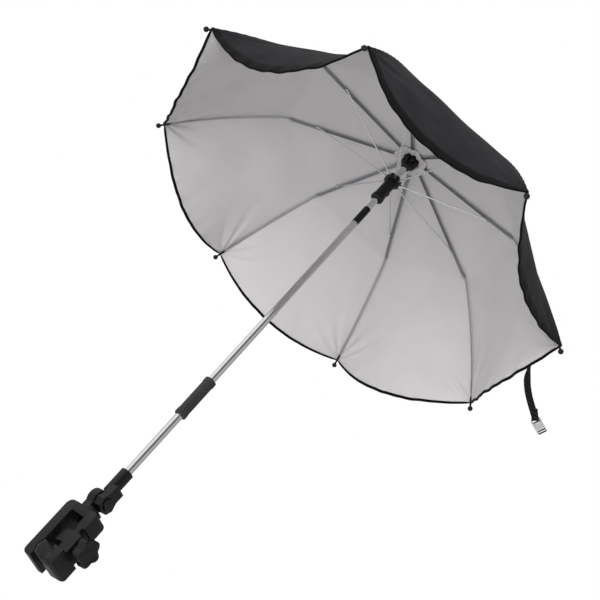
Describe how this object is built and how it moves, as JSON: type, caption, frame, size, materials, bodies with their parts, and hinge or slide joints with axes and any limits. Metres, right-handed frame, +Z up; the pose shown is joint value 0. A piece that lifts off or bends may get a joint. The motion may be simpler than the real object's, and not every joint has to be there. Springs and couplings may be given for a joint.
{
  "type": "pram parasol",
  "caption": "Folding pram parasol with a ribbed, scalloped canopy, black outside and silver inside, on a chrome telescopic pole with a tilting arm and a screw clamp.",
  "frame": {"origin": "centre of the tube that the clamp grips", "axes": "+Z up the pole with the arm untilted, +X along the gripped tube, -Y towards the star knob"},
  "size_m": [0.7012, 0.7037, 0.9029],
  "materials": {
    "black_plastic": "fine satin moulding",
    "tip_plastic": "gloss moulding",
    "tab_plastic": "pale satin moulding",
    "rubber": "matt",
    "steel": "zinc plated",
    "rib_steel": "zinc plated channel and grey rod",
    "brass": "turned",
    "chrome_tube": "bright chrome",
    "canopy_cloth": "black outside with a silver coated inside",
    "webbing": "woven webbing"
  },
  "bodies": {
    "clamp": {"fixed_jaw": "black_plastic", "fixed_pad": "rubber", "clamp_bolt": "steel"},
    "moving_jaw": {"moving_jaw": "black_plastic", "moving_pad": "rubber"},
    "washer": {"clamp_washer": "steel"},
    "knob": {"star_knob": "black_plastic", "knob_insert": "brass"},
    "knuckle": {"swivel_knuckle": "black_plastic", "swivel_screw": "steel", "tilt_axle": "steel"},
    "arm": {"pole_arm": "black_plastic", "lower_tube": "chrome_tube"},
    "tilt_button": {"tilt_button": "black_plastic"},
    "middle_pole": {"joint_sleeve": "black_plastic", "middle_tube": "chrome_tube", "ferrule": "black_plastic", "stop_pin": "steel"},
    "upper_pole": {"upper_tube": "chrome_tube", "crown": "black_plastic", "crown_pins": "steel", "crown_cap": "black_plastic"},
    "runner": {"runner": "black_plastic", "runner_pins": "steel"},
    "runner_button": {"runner_button": "black_plastic"},
    "rib_1": {"rib_1": "rib_steel", "rib_tip_1": "tip_plastic", "canopy_panel_1": "canopy_cloth"},
    "stretcher_1": {"stretcher_1": "steel"},
    "rib_2": {"rib_2": "rib_steel", "rib_tip_2": "tip_plastic", "canopy_panel_2": "canopy_cloth"},
    "stretcher_2": {"stretcher_2": "steel"},
    "rib_3": {"rib_3": "rib_steel", "rib_tip_3": "tip_plastic", "canopy_panel_3": "canopy_cloth"},
    "stretcher_3": {"stretcher_3": "steel"},
    "rib_4": {"rib_4": "rib_steel", "rib_tip_4": "tip_plastic", "canopy_panel_4": "canopy_cloth", "tie_strap": "webbing", "strap_tab": "tab_plastic"},
    "stretcher_4": {"stretcher_4": "steel"},
    "rib_5": {"rib_5": "rib_steel", "rib_tip_5": "tip_plastic", "canopy_panel_5": "canopy_cloth"},
    "stretcher_5": {"stretcher_5": "steel"},
    "rib_6": {"rib_6": "rib_steel", "rib_tip_6": "tip_plastic", "canopy_panel_6": "canopy_cloth"},
    "stretcher_6": {"stretcher_6": "steel"},
    "rib_7": {"rib_7": "rib_steel", "rib_tip_7": "tip_plastic", "canopy_panel_7": "canopy_cloth"},
    "stretcher_7": {"stretcher_7": "steel"},
    "rib_8": {"rib_8": "rib_steel", "rib_tip_8": "tip_plastic", "canopy_panel_8": "canopy_cloth"},
    "stretcher_8": {"stretcher_8": "steel"}
  },
  "joints": [
    {"name": "knob_turn", "type": "hinge", "parent": "washer", "child": "knob", "pos_m": [0, -0.035, 0.026], "axis": [0, -1, 0], "range_deg": [0, 2880]},
    {"name": "washer_slide", "type": "slide", "parent": "clamp", "child": "washer", "axis": [0, -1, 0], "range_m": [0, 0.012]},
    {"name": "jaw_open", "type": "hinge", "parent": "clamp", "child": "moving_jaw", "pos_m": [0, -0.016, 0.047], "axis": [-1, 0, 0], "range_deg": [0, 15]},
    {"name": "clamp_swivel", "type": "hinge", "parent": "clamp", "child": "knuckle", "pos_m": [0, 0, 0.075], "axis": [0, 0, 1], "range_deg": [-180, 180]},
    {"name": "arm_tilt", "type": "hinge", "parent": "knuckle", "child": "arm", "pos_m": [0, 0, 0.097], "axis": [0, 1, 0], "range_deg": [-90, 90]},
    {"name": "tilt_button_press", "type": "slide", "parent": "arm", "child": "tilt_button", "axis": [0, 1, 0], "range_m": [0, 0.0022], "stiffness_N_per_m": 500},
    {"name": "pole_pull", "type": "slide", "parent": "arm", "child": "middle_pole", "axis": [0, 0, 1], "range_m": [0, 0.04]},
    {"name": "upper_slide", "type": "slide", "parent": "middle_pole", "child": "upper_pole", "axis": [0, 0, 1], "range_m": [-0.1, 0]},
    {"name": "runner_slide", "type": "slide", "parent": "upper_pole", "child": "runner", "axis": [0, 0, -1], "range_m": [0, 0.24089], "deforming": ["canopy_panel_1", "canopy_panel_2", "canopy_panel_3", "canopy_panel_4", "canopy_panel_5", "canopy_panel_6", "canopy_panel_7", "canopy_panel_8", "tie_strap", "strap_tab"]},
    {"name": "runner_button_press", "type": "slide", "parent": "runner", "child": "runner_button", "axis": [-0.7071, 0.7071, 0], "range_m": [0, 0.0009], "stiffness_N_per_m": 400},
    {"name": "rib_1_fold", "type": "hinge", "parent": "upper_pole", "child": "rib_1", "pos_m": [-0.0097, 0.00402, 0.86], "axis": [-0.3827, -0.9239, 0], "range_deg": [0, 61.01]},
    {"name": "rib_2_fold", "type": "hinge", "parent": "upper_pole", "child": "rib_2", "pos_m": [-0.0097, -0.00402, 0.86], "axis": [0.3827, -0.9239, 0], "range_deg": [0, 61.01]},
    {"name": "rib_3_fold", "type": "hinge", "parent": "upper_pole", "child": "rib_3", "pos_m": [-0.00402, -0.0097, 0.86], "axis": [0.9239, -0.3827, 0], "range_deg": [0, 61.01]},
    {"name": "rib_4_fold", "type": "hinge", "parent": "upper_pole", "child": "rib_4", "pos_m": [0.00402, -0.0097, 0.86], "axis": [0.9239, 0.3827, 0], "range_deg": [0, 61.01]},
    {"name": "rib_5_fold", "type": "hinge", "parent": "upper_pole", "child": "rib_5", "pos_m": [0.0097, -0.00402, 0.86], "axis": [0.3827, 0.9239, 0], "range_deg": [0, 61.01]},
    {"name": "rib_6_fold", "type": "hinge", "parent": "upper_pole", "child": "rib_6", "pos_m": [0.0097, 0.00402, 0.86], "axis": [-0.3827, 0.9239, 0], "range_deg": [0, 61.01]},
    {"name": "rib_7_fold", "type": "hinge", "parent": "upper_pole", "child": "rib_7", "pos_m": [0.00402, 0.0097, 0.86], "axis": [-0.9239, 0.3827, 0], "range_deg": [0, 61.01]},
    {"name": "rib_8_fold", "type": "hinge", "parent": "upper_pole", "child": "rib_8", "pos_m": [-0.00402, 0.0097, 0.86], "axis": [-0.9239, -0.3827, 0], "range_deg": [0, 61.01]},
    {"name": "stretcher_1_fold", "type": "hinge", "parent": "runner", "child": "stretcher_1", "pos_m": [-0.01074, 0.00099, 0.803], "axis": [0.3827, 0.9239, 0], "range_deg": [0, 64.8]},
    {"name": "stretcher_2_fold", "type": "hinge", "parent": "runner", "child": "stretcher_2", "pos_m": [-0.00829, -0.0069, 0.803], "axis": [-0.3827, 0.9239, 0], "range_deg": [0, 64.8]},
    {"name": "stretcher_3_fold", "type": "hinge", "parent": "runner", "child": "stretcher_3", "pos_m": [-0.00099, -0.01074, 0.803], "axis": [-0.9239, 0.3827, 0], "range_deg": [0, 64.8]},
    {"name": "stretcher_4_fold", "type": "hinge", "parent": "runner", "child": "stretcher_4", "pos_m": [0.0069, -0.00829, 0.803], "axis": [-0.9239, -0.3827, 0], "range_deg": [0, 64.8]},
    {"name": "stretcher_5_fold", "type": "hinge", "parent": "runner", "child": "stretcher_5", "pos_m": [0.01074, -0.00099, 0.803], "axis": [-0.3827, -0.9239, 0], "range_deg": [0, 64.8]},
    {"name": "stretcher_6_fold", "type": "hinge", "parent": "runner", "child": "stretcher_6", "pos_m": [0.00829, 0.0069, 0.803], "axis": [0.3827, -0.9239, 0], "range_deg": [0, 64.8]},
    {"name": "stretcher_7_fold", "type": "hinge", "parent": "runner", "child": "stretcher_7", "pos_m": [0.00099, 0.01074, 0.803], "axis": [0.9239, -0.3827, 0], "range_deg": [0, 64.8]},
    {"name": "stretcher_8_fold", "type": "hinge", "parent": "runner", "child": "stretcher_8", "pos_m": [-0.0069, 0.00829, 0.803], "axis": [0.9239, 0.3827, 0], "range_deg": [0, 64.8]}
  ],
  "couplings": [
    {"joint": "washer_slide", "follows": "knob_turn", "m_per_rad": 0.00023873},
    {"joint": "jaw_open", "follows": "knob_turn", "ratio": 0.0052083},
    {"joint": "rib_1_fold", "follows": "runner_slide", "rad_per_m": 4.4197},
    {"joint": "rib_2_fold", "follows": "runner_slide", "rad_per_m": 4.4197},
    {"joint": "rib_3_fold", "follows": "runner_slide", "rad_per_m": 4.4197},
    {"joint": "rib_4_fold", "follows": "runner_slide", "rad_per_m": 4.4197},
    {"joint": "rib_5_fold", "follows": "runner_slide", "rad_per_m": 4.4197},
    {"joint": "rib_6_fold", "follows": "runner_slide", "rad_per_m": 4.4197},
    {"joint": "rib_7_fold", "follows": "runner_slide", "rad_per_m": 4.4197},
    {"joint": "rib_8_fold", "follows": "runner_slide", "rad_per_m": 4.4197},
    {"joint": "stretcher_1_fold", "follows": "runner_slide", "rad_per_m": 4.6944},
    {"joint": "stretcher_2_fold", "follows": "runner_slide", "rad_per_m": 4.6944},
    {"joint": "stretcher_3_fold", "follows": "runner_slide", "rad_per_m": 4.6944},
    {"joint": "stretcher_4_fold", "follows": "runner_slide", "rad_per_m": 4.6944},
    {"joint": "stretcher_5_fold", "follows": "runner_slide", "rad_per_m": 4.6944},
    {"joint": "stretcher_6_fold", "follows": "runner_slide", "rad_per_m": 4.6944},
    {"joint": "stretcher_7_fold", "follows": "runner_slide", "rad_per_m": 4.6944},
    {"joint": "stretcher_8_fold", "follows": "runner_slide", "rad_per_m": 4.6944}
  ]
}
